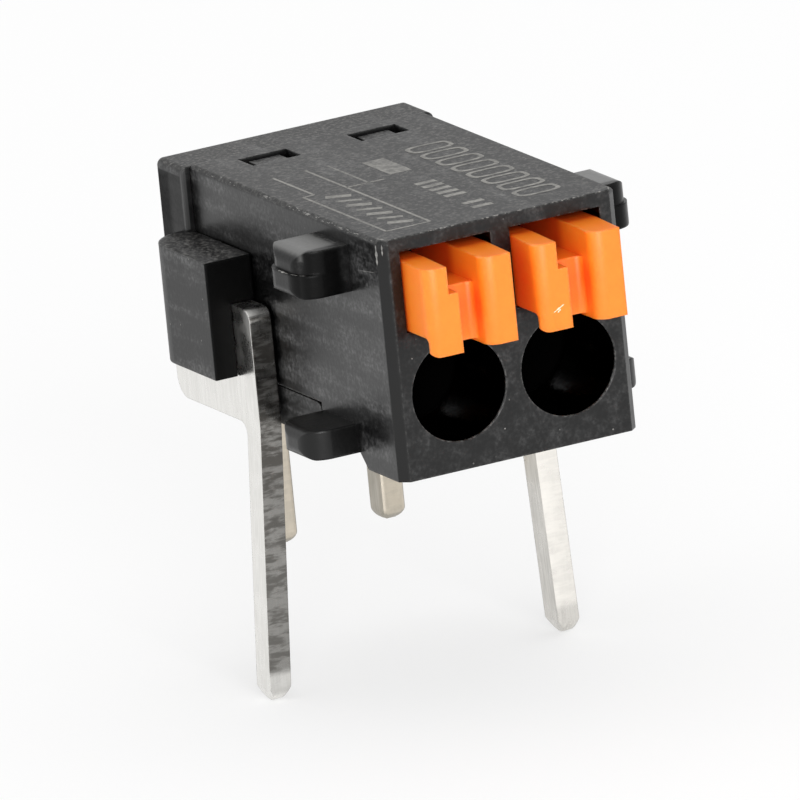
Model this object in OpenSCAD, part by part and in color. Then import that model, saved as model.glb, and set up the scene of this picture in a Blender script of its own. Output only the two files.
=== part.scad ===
// Two-pole pluggable terminal block: a push-in plug seated on a right-angle board header.
// Millimetres. The origin is on the board face, midway between the two contact pins.
// +Z points away from the board, and the wires enter from -Y.

/* [Poles] */
// Distance between the two poles
pole_pitch = 3.5; // [3.4:0.1:4.5]

/* [Plug housing] */
// Length from the wire face to the rear face
plug_l = 11.7; // [11.4:0.1:13]
// Height of the plug's top above the board
plug_top = 6.8; // [6.6:0.1:7.6]
// Wall beside each lever window
side_wall = 0.6; // [0.5:0.05:0.9]
// Rib between the two lever windows
rib_t = 0.6; // [0.5:0.05:0.7]
// Roof over the levers and the springs
roof_t = 0.42; // [0.36:0.02:0.5]
// Chamfer on the two upright front edges
edge_chamfer = 0.25; // [0.1:0.05:0.35]
// Chamfer along the two long top edges
top_chamfer = 0.1; // [0.05:0.01:0.2]
// Length of the foot under the wire face
foot_l = 2.1; // [1.6:0.1:2.2]
// How far the foot hangs below the board face
foot_drop = 0.3; // [0.1:0.05:0.5]
// Height of the belly behind the foot, above the board face
belly_z = 0.12; // [0.05:0.01:0.2]

/* [Wire entries] */
// Height of the wire axis above the board
wire_z = 2.05; // [2:0.01:2.15]
// Diameter of the round wire entry
wire_d = 3; // [2.6:0.1:3.1]
// Depth of the round wire entry
wire_l = 3.2; // [2.8:0.1:3.4]
// Diameter of the hole that guides the bare strands
strand_d = 1.6; // [1.4:0.1:1.8]
// Length of the funnel between the two
funnel_l = 1; // [0.8:0.1:1.2]

/* [Grip nubs] */
// Length of the nubs, measured out from the side wall
nub_out = 1.6; // [1:0.02:1.7]
// Width of the upper nubs along the plug
nub_w = 2.25; // [1.8:0.05:2.6]
// Distance of the upper nubs behind the wire face
nub_y = 2.05; // [1.6:0.05:2.4]
// Height of the upper nubs
nub_h = 1.38; // [1:0.02:1.6]
// Distance of the upper nubs below the plug's top
nub_below_top = 0.46; // [0.4:0.02:0.8]
// Step between the nub's lower and upper half
nub_step = 0.1; // [0.04:0.01:0.14]
// Length of the lower nubs, measured out from the side wall
low_nub_out = 1.58; // [0.8:0.02:1.7]
// Width of the lower nubs along the plug
low_nub_w = 2; // [1.6:0.1:2.2]
// Height of the lower nubs
low_nub_h = 0.85; // [0.7:0.05:0.95]
// Rounding of the nubs' outer corners
nub_r = 0.72; // [0.3:0.02:0.8]
// Rounding of the upper nubs' top edges
nub_top_r = 0.42; // [0.2:0.02:0.46]
// Rounding of the upper nubs' outer bottom edge
nub_low_r = 0.24; // [0.1:0.02:0.3]
// Rounding of the lower nubs' outer edges
low_nub_r = 0.3; // [0.14:0.02:0.34]

/* [Release levers] */
// How far a lever stands out of the wire face
lever_out = 1.4; // [1.3:0.1:1.8]
// Travel of a lever
lever_travel = 1; // [0.8:0.05:1.1]
// Clearance around a lever
lever_gap = 0.05; // [0.03:0.01:0.07]
// How much narrower a lever is at its right side
lever_trim = 0.08; // [0:0.01:0.12]
// How far the window dips into the round wire entry
window_dip = 0.1; // [0.08:0.01:0.14]
// Gap between a lever's top and the roof
lever_top_gap = 0.27; // [0.1:0.01:0.3]
// Fall of a lever's top towards its tip
lever_fall = 0.04; // [0.02:0.01:0.2]
// Width of the groove between a lever's two columns
groove_w = 0.84; // [0.7:0.02:1.1]
// Depth of that groove
groove_d = 0.85; // [0.6:0.05:1.1]
// Fillet at the groove's inner right corner
groove_r = 0.2; // [0.1:0.02:0.4]
// Height of the screwdriver notch above the groove
notch_h = 0.84; // [0.6:0.02:1.1]
// How much wider the notch is than the groove
notch_step = 0.3; // [0.08:0.02:0.34]
// Height of the step under a lever's left column
heel_h = 0.55; // [0.4:0.05:0.8]
// Thickness of the lip that hangs in front of that step
lip_t = 0.25; // [0.2:0.01:0.35]
// Fillet between that step and the lip
heel_r = 0.14; // [0.06:0.02:0.2]
// Rounding of the lip's lower left corner
lip_r = 0.24; // [0.1:0.02:0.3]
// Rounding of the columns' left front edges
column_r = 0.38; // [0.2:0.02:0.46]
// Width of the tail that presses the spring
tail_w = 1.8; // [1.4:0.1:2]
// Height of the tail
tail_h = 0.65; // [0.5:0.05:0.8]

/* [Clamp springs and current bars] */
// Thickness of the spring strip
spring_t = 0.25; // [0.2:0.01:0.3]
// Width of the spring strip
spring_w = 1.8; // [1.4:0.1:2]
// Radius of the spring's bend, at its middle
bend_r = 0.55; // [0.45:0.05:0.65]
// Angle of the clamping arm, from upright
arm_angle = 26; // [22:1:30]
// Length of the arm under the roof
rest_arm_l = 3.2; // [2.4:0.1:3.6]
// Thickness of the current bar
bar_t = 0.3; // [0.24:0.02:0.34]
// Width of the current bar
bar_w = 1.9; // [1.8:0.05:2]
// Thickness of the fork's two walls
fork_t = 0.4; // [0.3:0.02:0.44]
// Height of the fork's walls above the pin's middle
fork_rise = 0.7; // [0.5:0.05:0.9]
// Gap between the pin and each wall of the fork
contact_gap = 0.03; // [0.02:0.01:0.05]

/* [Rear cover] */
// Depth of the rear cover
cover_l = 1.7; // [1.5:0.05:1.8]
// Thickness of its rear wall
cover_t = 0.35; // [0.3:0.05:0.45]
// Wall of the housing around it
cover_wall = 0.5; // [0.4:0.05:0.6]
// Width of the snap windows
snap_w = 1.55; // [1.2:0.05:1.7]
// Length of the snap windows
snap_l = 0.95; // [0.8:0.05:1.1]
// Distance of the snap windows from the rear face
snap_back = 0.55; // [0.45:0.05:0.7]
// How deep a snap nose lies below the plug's top
snap_dip = 0.1; // [0.06:0.01:0.14]
// Gap behind a snap nose in its window
snap_gap = 0.1; // [0.06:0.01:0.14]
// Gap on each side of a snap nose
snap_side = 0.28; // [0.1:0.02:0.34]

/* [Header] */
// Thickness of the rear flange
flange_t = 1.5; // [1.2:0.05:1.7]
// How far the flange is wider than the plug, on each side
flange_over = 0.27; // [0.12:0.01:0.4]
// How far the flange stays below the plug's top
flange_dip = 0.05; // [0:0.01:0.15]
// Rounding of the flange's corners
flange_r = 0.2; // [0.1:0.02:0.8]
// Distance from the flange's front to the row of contact pins
pin_set = 0.7; // [0.65:0.05:0.75]
// Thickness of the floor under the plug
floor_t = 0.5; // [0.4:0.02:0.52]
// Length of the floor and of the side rails, in front of the flange
tray_l = 7.05; // [6.6:0.05:7.2]
// Height of the side rails
rail_h = 1.12; // [1:0.02:1.14]
// Thickness of the side rails
rail_t = 0.45; // [0.35:0.05:0.5]
// Rounding of the rails' front ends
rail_r = 0.35; // [0.2:0.05:0.45]
// Sliding clearance between plug and header
slide_gap = 0.05; // [0.03:0.01:0.08]

/* [Ears] */
// Length of the ears in front of the flange
ear_l = 3.5; // [3:0.1:3.8]
// How far the ears run back beside the flange
ear_root = 0.3; // [0.2:0.05:0.8]
// Height of the ears' underside above the board
ear_z = 1.4; // [1.2:0.05:1.7]
// Height of the ears
ear_h = 3.45; // [3:0.05:3.8]
// Wall of an ear outside the solder leg
ear_wall = 0.69; // [0.6:0.01:1]
// Rounding of the ears' rear outer corners
ear_r = 1.2; // [0.5:0.05:1.3]

/* [Contact pins] */
// Side of the square contact pins
pin_w = 0.8; // [0.7:0.02:0.86]
// Height of the pins' blades above the board
pin_z = 2.3; // [2.1:0.05:2.5]
// Length of the pins' blades in front of the flange
blade_l = 2.85; // [2.4:0.05:3]
// Length of the solder tails below the board face
tail_l = 5; // [3:0.1:6]
// Rounding of the pins' tips
pin_tip_r = 0.34; // [0.15:0.01:0.34]
// Outer radius of the pins' bend
pin_bend_r = 0.6; // [0.3:0.05:0.7]

/* [Solder legs] */
// Thickness of the stamped strip
leg_t = 0.68; // [0.5:0.02:0.7]
// Width of the leg below the board
leg_w = 0.82; // [0.7:0.02:1]
// Distance from the flange's front to the leg's front edge
leg_fwd = 4.55; // [4:0.05:4.8]
// Length of the leg below the board face
leg_l = 8; // [6:0.1:9]
// Height of the strip's top above the board
leg_top = 3.5; // [3:0.05:4]
// Height of the hip's lower edge above the board
hip_z = 0.05; // [0.02:0.01:0.15]
// Gap between the strip and the flange
hip_gap = 0.1; // [0.05:0.05:0.3]
// How far the hip runs back beside the flange
hip_back = 0.5; // [0.2:0.05:0.7]
// Rounding of the hip's rear lower corner
hip_r = 0.6; // [0.3:0.05:0.8]
// Fillet between hip and leg
leg_fillet = 0.4; // [0.2:0.05:0.6]
// Depth of the taper on both sides of the leg's end
leg_tip = 0.22; // [0.05:0.01:0.24]
// Length of that taper
leg_tip_l = 0.4; // [0.1:0.05:0.6]
// Rounding of the strip's upper front corner
leg_top_r = 0.35; // [0.2:0.05:0.45]
// Outward splay of the left leg below the board, in degrees
left_splay_angle = 3.9; // [0:0.1:5]
// Outward splay of the right leg below the board, in degrees
right_splay_angle = 2.3; // [0:0.1:5]

/* [Hidden] */
$fn = 64;
// Gap around fixed pieces in their seats
fit_gap = 0.03;
// Overshoot of the cuts
eps = 0.1;
// Shoulder at the back of a lever window, on each side
shoulder = 0.15;
// Spare room behind a lever at the end of its travel
end_gap = 0.15;
// Depth by which the nubs are rooted in the side wall
nub_root = 0.2;
// Gap between the lower nubs and the rails
nub_rail_gap = 0.15;
// Wall between the rails and the rear cover's seat
seat_wall = 0.33;
// Gap between the spring's tip and the bar
tip_gap = 0.05;
// Gap between the spring's bend and the chamber's front wall
bend_gap = 0.15;
// Gap between the current bar and the ends of its slot
bar_end_gap = 0.1;
// Room around the fork in the rear cover
fork_room = 0.1;
// Room around a pin in the rear cover's hole
pin_room = 0.1;
// Distance from the fork's front to the pin's tip
fork_lead = 0.3;
// Gap between the solder legs and the plug's sides
leg_gap = 0.11;

left = -1;
right = 1;

plug_w = 2 * pole_pitch - rib_t + 2 * side_wall;
pole_x = pole_pitch / 2;
roof_z = plug_top - roof_t;
flange_y = -pin_set;
face_y = flange_y - slide_gap - plug_l;
tray_y = plug_l + slide_gap - tray_l;
under_z = floor_t + slide_gap;

window_w = pole_pitch - rib_t;
wire_top = wire_z + wire_d / 2;
window_z = wire_top - window_dip;
chamber_w = window_w - 2 * shoulder;
chamber_y = wire_l + funnel_l;
cover_y = plug_l - cover_l;
cover_z = rail_h + slide_gap + seat_wall;

bar_top = wire_z - strand_d / 2;
bar_z = bar_top - bar_t;
fork_w = pin_w + 2 * contact_gap + 2 * fork_t;
fork_top = pin_z + fork_rise;
fork_y = plug_l + slide_gap - blade_l - fork_lead;
bar_end = plug_l - cover_t - bar_end_gap;

lever_w = window_w - 2 * lever_gap;
lever_z = window_z + lever_gap;
lever_top = roof_z - lever_top_gap;
head_end = chamber_y - lever_travel - end_gap;
hook_z = wire_z + strand_d / 2 + lever_gap;
tail_top = lever_z + tail_h;
notch_z = lever_top - notch_h;
groove_half = groove_w / 2;
wire_half = sqrt(pow(wire_d / 2, 2) - pow(lever_z - wire_z, 2));
wire_room = max(groove_half, wire_half + fit_gap);

bend_y = chamber_y + bend_gap + bend_r + spring_t / 2;
bend_z = roof_z - fit_gap - spring_t / 2 - bend_r;
arm_y = bend_y - bend_r * cos(arm_angle);
arm_z = bend_z - bend_r * sin(arm_angle);
arm_l = (arm_z - spring_t / 2 * sin(arm_angle) - bar_top - tip_gap) / cos(arm_angle);

leg_x = plug_w / 2 + leg_gap;
ear_x = leg_x + leg_t + fit_gap;
ear_w = ear_x + ear_wall;
hip_end = flange_y + hip_back;
hip_top = ear_z - fit_gap;

// Level of the spring's front face at height z, measured behind the wire face
function arm_front(z) =
    arm_y - spring_t / 2 * cos(arm_angle)
    + (arm_z - spring_t / 2 * sin(arm_angle) - z) * tan(arm_angle);

plastic_black = "#1d1d1f";
lever_orange = "#f58220";
spring_steel = "#a9abae";
bar_copper = "#c9a27a";
tin_silver = "#cfcec8";

// A box between two corners
module block(low, high) {
    translate(low)
        cube(high - low);
}

// A shape drawn in (y, z), extruded along X between two levels
module along_x(x0, x1) {
    translate([x0, 0, 0])
        rotate([90, 0, 90])
            linear_extrude(x1 - x0)
                children();
}

// A shape drawn in (x, z), extruded along Y between two levels
module along_y(y0, y1) {
    translate([0, y1, 0])
        rotate([90, 0, 0])
            linear_extrude(y1 - y0)
                children();
}

// A shape drawn in (x, y), extruded along Z between two levels
module along_z(z0, z1) {
    translate([0, 0, z0])
        linear_extrude(z1 - z0)
            children();
}

// What rounding a corner at the origin takes away from a shape in the first quadrant,
// and what a fillet there adds to the shapes beside it
module corner(r) {
    difference() {
        translate([-eps, -eps])
            square(r + eps);
        translate([r, r])
            circle(r);
    }
}

// A rectangle whose four corners are rounded
module rounded_rect(low, high, r) {
    translate([low.x + r, low.y])
        square([high.x - low.x - 2 * r, high.y - low.y]);
    translate([low.x, low.y + r])
        square([high.x - low.x, high.y - low.y - 2 * r]);
    for (x = [low.x + r, high.x - r], y = [low.y + r, high.y - r])
        translate([x, y])
            circle(r);
}

// Places plug pieces: y is then measured from the wire face
module in_plug() {
    translate([0, face_y, 0])
        children();
}

// Places pieces of one pole of the plug
module at_pole(side) {
    translate([side * pole_x, face_y, 0])
        children();
}

// Plug housing

module plug_side() {
    polygon([
        [0, -foot_drop], [foot_l, -foot_drop],
        [foot_l + foot_drop + belly_z, belly_z], [tray_y, belly_z],
        [tray_y, under_z], [plug_l, under_z],
        [plug_l, plug_top], [0, plug_top]
    ]);
}

module plug_plan() {
    half = plug_w / 2;
    polygon([
        [-half + edge_chamfer, 0], [half - edge_chamfer, 0], [half, edge_chamfer],
        [half, plug_l], [-half, plug_l], [-half, edge_chamfer]
    ]);
}

module plug_front() {
    half = plug_w / 2;
    polygon([
        [-half, -foot_drop], [half, -foot_drop], [half, plug_top - top_chamfer],
        [half - top_chamfer, plug_top], [-half + top_chamfer, plug_top], [-half, plug_top - top_chamfer]
    ]);
}

module plug_shell() {
    half = plug_w / 2;
    rail_x = half - rail_t - slide_gap;
    difference() {
        intersection() {
            along_x(-half, half)
                plug_side();
            along_y(0, plug_l)
                plug_front();
            along_z(-foot_drop, plug_top)
                plug_plan();
        }
        for (side = [left, right])
            block(
                [side < 0 ? -half - eps : rail_x, tray_y, under_z - eps],
                [side < 0 ? -rail_x : half + eps, plug_l + eps, rail_h + slide_gap]
            );
    }
}

// A grip nub on the right side, with its outer corners rounded in plan
module nub(out, y0, y1, z0, z1) {
    wall = plug_w / 2;
    along_z(z0, z1)
        difference() {
            translate([wall - nub_root, y0])
                square([nub_root + out, y1 - y0]);
            translate([wall + out, y0])
                mirror([1, 0])
                    corner(nub_r);
            translate([wall + out, y1])
                rotate(180)
                    corner(nub_r);
        }
}

// What rounding the outer bottom edge of a nub takes away
module low_edge(out, z, r) {
    along_y(0, plug_l)
        translate([plug_w / 2 + out, z])
            mirror([1, 0])
                corner(r);
}

// What rounding its outer top edge takes away
module top_edge(out, z, r) {
    along_y(0, plug_l)
        translate([plug_w / 2 + out, z])
            rotate(180)
                corner(r);
}

module upper_nub() {
    rear = nub_y + nub_w;
    top = plug_top - nub_below_top;
    middle = top - nub_h / 2;
    low = top - nub_h;
    difference() {
        nub(nub_out, nub_y, rear, low, middle);
        low_edge(nub_out, low, nub_low_r);
    }
    difference() {
        nub(nub_out - nub_step, nub_y, rear, middle, top);
        top_edge(nub_out - nub_step, top, nub_top_r);
        along_x(plug_w / 2, plug_w / 2 + nub_out)
            translate([rear, top])
                rotate(180)
                    corner(nub_top_r);
    }
}

module lower_nub() {
    rear = tray_y - nub_rail_gap;
    top = belly_z + low_nub_h;
    difference() {
        nub(low_nub_out, rear - low_nub_w, rear, belly_z, top);
        low_edge(low_nub_out, belly_z, low_nub_r);
        top_edge(low_nub_out, top, low_nub_r);
    }
}

module nubs() {
    upper_nub();
    lower_nub();
}

// Outline of a lever window in (x, z)
module window_outline() {
    half = window_w / 2;
    heel_x = -groove_half - lever_gap;
    heel_z = window_z + heel_h;
    polygon([
        [heel_x, window_z], [half, window_z], [half, roof_z], [-half, roof_z],
        [-half, heel_z], [heel_x, heel_z]
    ]);
}

// Everything that is hollow in one pole of the housing
module pole_hollow() {
    half = chamber_w / 2;
    slot = bar_w / 2 + fit_gap;
    translate([0, 0, wire_z])
        rotate([-90, 0, 0]) {
            translate([0, 0, -eps])
                cylinder(h = wire_l + eps, d = wire_d);
            translate([0, 0, wire_l])
                cylinder(h = funnel_l, d1 = wire_d, d2 = strand_d);
            translate([0, 0, chamber_y - eps])
                cylinder(h = 2 * eps, d = strand_d);
        }
    along_y(-eps, chamber_y)
        window_outline();
    block([-half, chamber_y, bar_top - fit_gap], [half, cover_y + eps, roof_z]);
    block([-slot, chamber_y, bar_z - fit_gap], [slot, plug_l + eps, cover_z + eps]);
    block(
        [-snap_w / 2, plug_l - snap_back - snap_l, roof_z - eps],
        [snap_w / 2, plug_l - snap_back, plug_top + eps]
    );
}

module plug_housing() {
    seat = plug_w / 2 - cover_wall;
    color(plastic_black)
        difference() {
            in_plug() {
                plug_shell();
                nubs();
                mirror([1, 0, 0])
                    nubs();
            }
            for (side = [left, right])
                at_pole(side)
                    pole_hollow();
            in_plug()
                block([-seat, cover_y, cover_z], [seat, plug_l + eps, roof_z]);
        }
}

// Rear cover

module cover_block() {
    seat = plug_w / 2 - cover_wall - fit_gap;
    foot = bar_w / 2;
    nose = snap_w / 2 - snap_side;
    nose_end = plug_l - snap_back - snap_gap;
    nose_y = plug_l - snap_back - snap_l + fit_gap;
    in_plug()
        block([-seat, cover_y, cover_z + fit_gap], [seat, plug_l, roof_z - fit_gap]);
    for (side = [left, right])
        at_pole(side) {
            block([-foot, plug_l - cover_t, bar_z], [foot, plug_l, cover_z + 2 * fit_gap]);
            block([-nose, nose_y, roof_z - 2 * fit_gap], [nose, nose_end, plug_top - snap_dip]);
        }
}

module plug_rear_cover() {
    room = fork_w / 2 + fork_room;
    hole = pin_w / 2 + pin_room;
    color(plastic_black)
        difference() {
            cover_block();
            for (side = [left, right])
                at_pole(side) {
                    block(
                        [-room, cover_y - eps, cover_z - eps],
                        [room, plug_l - cover_t, fork_top + fork_room]
                    );
                    block([-hole, cover_y, pin_z - hole], [hole, plug_l + eps, pin_z + hole]);
                }
        }
}

// Release levers

// Side view of a lever in (y, z)
module lever_side() {
    polygon([
        [-lever_out, lever_z], [head_end, lever_z], [head_end, lever_top],
        [0, lever_top], [-lever_out, lever_top - lever_fall]
    ]);
}

// The tail, and the hook that stops at the funnel's back and presses the spring
module lever_tail() {
    along_x(-tail_w / 2, tail_w / 2)
        polygon([
            [head_end - eps, lever_z], [chamber_y + lever_gap, lever_z],
            [chamber_y + lever_gap, hook_z], [arm_front(hook_z) - lever_gap, hook_z],
            [arm_front(tail_top) - lever_gap, tail_top], [head_end - eps, tail_top]
        ]);
}

// Side view of the step under the left column in (y, z), filleted towards the lip
module heel_side() {
    lip_y = lip_t - lever_out;
    heel_z = lever_z + heel_h;
    difference() {
        translate([lip_y, lever_z - eps])
            square([chamber_y + lever_gap - lip_y, heel_h + eps]);
        translate([lip_y, heel_z])
            mirror([0, 1])
                corner(heel_r);
    }
}

// What the groove, the notch, the rounded columns, the step and the wire take out of a lever
module lever_cuts() {
    half = lever_w / 2;
    front = -lever_out;
    low = lever_z - eps;
    along_z(low, notch_z)
        difference() {
            translate([-groove_half, front - eps])
                square([groove_w, groove_d + eps]);
            translate([groove_half, front + groove_d])
                rotate(180)
                    corner(groove_r);
        }
    block(
        [-groove_half - notch_step, front - eps, notch_z],
        [groove_half, head_end + eps, lever_top + eps]
    );
    along_z(low, lever_top + eps)
        for (x = [-half, groove_half])
            translate([x, front])
                corner(column_r);
    along_x(-half - eps, -groove_half)
        heel_side();
    along_y(front - eps, front + lip_t + eps)
        translate([-half, lever_z])
            corner(lip_r);
    block([-wire_room, front - eps, low], [wire_room, wire_l, wire_top + lever_gap]);
}

module release_lever(side) {
    color(lever_orange)
        at_pole(side)
            difference() {
                union() {
                    along_x(-lever_w / 2, lever_w / 2 - lever_trim)
                        lever_side();
                    lever_tail();
                }
                lever_cuts();
            }
}

module release_lever_left() {
    release_lever(left);
}

module release_lever_right() {
    release_lever(right);
}

// Clamp springs

module clamp_spring(side) {
    half = spring_w / 2;
    color(spring_steel)
        at_pole(side) {
            along_x(-half, half)
                translate([bend_y, bend_z + bend_r - spring_t / 2])
                    square([rest_arm_l, spring_t]);
            translate([0, bend_y, bend_z])
                rotate([90, 0, 90])
                    rotate(90)
                        rotate_extrude(angle = 90 + arm_angle)
                            translate([bend_r - spring_t / 2, -half])
                                square([spring_t, spring_w]);
            along_x(-half, half)
                translate([arm_y, arm_z])
                    rotate(arm_angle - 90)
                        translate([0, -spring_t / 2])
                            square([arm_l, spring_t]);
        }
}

module clamp_spring_left() {
    clamp_spring(left);
}

module clamp_spring_right() {
    clamp_spring(right);
}

// Current bars

module current_bar(side) {
    half = bar_w / 2;
    inner = pin_w / 2 + contact_gap;
    color(bar_copper)
        at_pole(side) {
            block([-half, chamber_y + bar_end_gap, bar_z], [half, bar_end, bar_top]);
            for (x = [-inner - fork_t, inner])
                block([x, fork_y, bar_z], [x + fork_t, bar_end, fork_top]);
        }
}

module current_bar_left() {
    current_bar(left);
}

module current_bar_right() {
    current_bar(right);
}

// Header

module flange() {
    half = plug_w / 2 + flange_over;
    along_y(flange_y, flange_y + flange_t)
        rounded_rect([-half, 0], [half, plug_top - flange_dip], flange_r);
}

// The floor under the plug and the rails beside it
module tray() {
    half = plug_w / 2;
    front = flange_y - tray_l;
    block([-half, front + rail_r, 0], [half, flange_y + eps, floor_t]);
    for (x = [-half, half - rail_t])
        along_x(x, x + rail_t)
            difference() {
                translate([front, 0])
                    square([tray_l + eps, rail_h]);
                translate([front, rail_h])
                    mirror([0, 1])
                        corner(rail_r);
                translate([front, 0])
                    corner(rail_r);
            }
}

// The right ear
module ear() {
    inner = plug_w / 2 + slide_gap;
    front = flange_y - ear_l;
    rear = flange_y + ear_root;
    along_z(ear_z, ear_z + ear_h)
        difference() {
            translate([inner, front])
                square([ear_w - inner, rear - front]);
            translate([ear_w, rear])
                rotate(180)
                    corner(ear_r);
        }
}

// The slot of the right solder leg, open to the front, the inside and below,
// with a notch for the hip in the flange
module leg_slot() {
    inner = plug_w / 2 + slide_gap;
    front = flange_y - ear_l - eps;
    block([inner - eps, front, ear_z - eps], [ear_x, flange_y - hip_gap + fit_gap, leg_top + fit_gap]);
    block([leg_x - fit_gap, flange_y - eps, -eps], [ear_w, hip_end + fit_gap, ear_z]);
}

module header_body() {
    groove = pin_w / 2 + fit_gap;
    color(plastic_black)
        difference() {
            union() {
                flange();
                tray();
                ear();
                mirror([1, 0, 0])
                    ear();
            }
            leg_slot();
            mirror([1, 0, 0])
                leg_slot();
            for (side = [left, right])
                translate([side * pole_x, 0, 0]) {
                    block([-groove, -groove, -eps], [groove, flange_t, pin_z + groove]);
                    block([-groove, flange_y - eps, pin_z - groove], [groove, 0, pin_z + groove]);
                }
        }
}

// Contact pins

// Side view of a pin in (y, z): a tail that goes down through the board and a blade to the front
module pin_side() {
    half = pin_w / 2;
    tip_y = flange_y - blade_l;
    difference() {
        union() {
            translate([-half, -tail_l])
                square([pin_w, tail_l + pin_z + half]);
            translate([tip_y, pin_z - half])
                square([half - tip_y, pin_w]);
        }
        translate([half, pin_z + half])
            rotate(180)
                corner(pin_bend_r);
        translate([tip_y, pin_z - half])
            corner(pin_tip_r);
        translate([tip_y, pin_z + half])
            mirror([0, 1])
                corner(pin_tip_r);
        translate([-half, -tail_l])
            corner(pin_tip_r);
        translate([half, -tail_l])
            mirror([1, 0])
                corner(pin_tip_r);
    }
}

// Front view of a pin in (x, z)
module pin_front() {
    half = pin_w / 2;
    difference() {
        translate([-half, -tail_l])
            square([pin_w, tail_l + pin_z + half]);
        translate([-half, -tail_l])
            corner(pin_tip_r);
        translate([half, -tail_l])
            mirror([1, 0])
                corner(pin_tip_r);
    }
}

module contact_pin(side) {
    half = pin_w / 2;
    color(tin_silver)
        translate([side * pole_x, 0, 0])
            intersection() {
                along_x(-half, half)
                    pin_side();
                along_y(flange_y - blade_l - eps, half + eps)
                    pin_front();
            }
}

module contact_pin_left() {
    contact_pin(left);
}

module contact_pin_right() {
    contact_pin(right);
}

// Solder legs

// Side view of a leg in (y, z): a flag that sits in the ear, its hip, and the leg with a round end
module leg_side() {
    front = flange_y - leg_fwd;
    rear = flange_y - hip_gap;
    tip_r = leg_w / 2;
    difference() {
        union() {
            translate([front, hip_z])
                square([rear - front, leg_top - hip_z]);
            translate([front, hip_z])
                square([hip_end - front, hip_top - hip_z]);
        }
        translate([front, leg_top])
            mirror([0, 1])
                corner(leg_top_r);
        translate([hip_end, hip_z])
            mirror([1, 0])
                corner(hip_r);
    }
    translate([front, tip_r - leg_l])
        square([leg_w, leg_l - tip_r + hip_z + eps]);
    translate([front + tip_r, tip_r - leg_l])
        circle(tip_r);
    translate([front + leg_w, hip_z])
        mirror([0, 1])
            corner(leg_fillet);
}

// Front view of a right leg's strip in (x, z): upright in the ear, set outwards at its end
module leg_front(out) {
    near = leg_x + out * (1 - leg_tip_l / (leg_l + hip_z));
    polygon([
        [leg_x, leg_top], [leg_x, hip_z],
        [near, leg_tip_l - leg_l], [leg_x + out + leg_tip, -leg_l],
        [leg_x + out + leg_t - leg_tip, -leg_l], [near + leg_t, leg_tip_l - leg_l],
        [leg_x + leg_t, hip_z], [leg_x + leg_t, leg_top]
    ]);
}

module solder_leg(splay) {
    out = (leg_l + hip_z) * tan(splay);
    color(tin_silver)
        intersection() {
            along_x(leg_x, leg_x + leg_t + out)
                leg_side();
            along_y(flange_y - leg_fwd, hip_end)
                leg_front(out);
        }
}

module solder_leg_left() {
    mirror([1, 0, 0])
        solder_leg(left_splay_angle);
}

module solder_leg_right() {
    solder_leg(right_splay_angle);
}

plug_housing();
plug_rear_cover();
release_lever_left();
release_lever_right();
clamp_spring_left();
clamp_spring_right();
current_bar_left();
current_bar_right();
header_body();
contact_pin_left();
contact_pin_right();
solder_leg_left();
solder_leg_right();
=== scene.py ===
"""Dresses the two-pole pluggable terminal block: finishes, softened edges, print, studio and camera."""

import logging
import math
from dataclasses import dataclass, replace
from enum import Enum

import bpy
import numpy as np
from mathutils import Matrix, Vector


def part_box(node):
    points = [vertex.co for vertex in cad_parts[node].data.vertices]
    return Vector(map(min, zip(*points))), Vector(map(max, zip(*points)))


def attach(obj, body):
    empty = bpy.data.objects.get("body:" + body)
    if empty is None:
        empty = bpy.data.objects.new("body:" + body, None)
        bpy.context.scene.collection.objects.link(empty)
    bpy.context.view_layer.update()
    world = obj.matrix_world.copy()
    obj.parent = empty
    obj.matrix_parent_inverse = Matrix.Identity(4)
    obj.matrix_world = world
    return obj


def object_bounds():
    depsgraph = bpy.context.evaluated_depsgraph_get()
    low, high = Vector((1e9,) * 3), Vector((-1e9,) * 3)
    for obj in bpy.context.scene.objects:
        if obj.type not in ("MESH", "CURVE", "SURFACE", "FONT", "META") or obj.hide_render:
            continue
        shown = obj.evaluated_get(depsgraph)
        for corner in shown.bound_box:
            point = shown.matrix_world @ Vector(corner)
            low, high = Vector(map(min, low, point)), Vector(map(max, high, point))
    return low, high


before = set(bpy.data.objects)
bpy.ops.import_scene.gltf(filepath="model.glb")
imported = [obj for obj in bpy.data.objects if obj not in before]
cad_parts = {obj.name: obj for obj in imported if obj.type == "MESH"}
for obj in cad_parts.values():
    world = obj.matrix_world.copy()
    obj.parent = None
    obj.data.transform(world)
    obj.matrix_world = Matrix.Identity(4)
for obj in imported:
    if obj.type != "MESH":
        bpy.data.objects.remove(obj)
CAD_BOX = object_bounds()

MM = 0.001
LOG = logging.getLogger("terminal_block")

Colour = tuple[float, float, float]
Point = tuple[float, float, float]
Band = tuple[float, float]
Socket = bpy.types.NodeSocket
Sockets = bpy.types.bpy_prop_collection
Feed = Socket | float | Point
MarkRow = tuple[Point | np.ndarray, Point | np.ndarray, Point, float, float]

NEAR_BLACK: Colour = (0.0008, 0.0008, 0.0008)
SLANT = math.sqrt(0.5)

# Where a noise, a slope or a share of open sky goes from no effect to all of it
ALL: Band = (0.0, 1.0)
NOISE_BAND: Band = (0.3, 0.7)
CLOUD_BAND: Band = (0.35, 0.65)
GRIME_BAND: Band = (0.45, 0.72)
WEAR_AND_HIGHLIGHT_BAND: Band = (0.42, 0.68)
FRONT_BAND: Band = (0.5, 0.9)
SHEARED_BAND: Band = (-0.8, -0.95)
UPWARD_BAND: Band = (0.4, 0.9)
OUTER_BAND: Band = (0.7, 0.95)
TURNED_BAND: Band = (0.99, 0.8)
RECESS_SHADE_BAND: Band = (0.8, 0.35)

# How CAD nodes with soft edges are joined, flattened and rounded
WELD_GAP = 1e-7
FLAT_ANGLE = math.radians(1)
EDGE_ANGLE = math.radians(30)
EDGE_SEGMENTS = 3

BUMP_STRENGTH = 0.3


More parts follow.
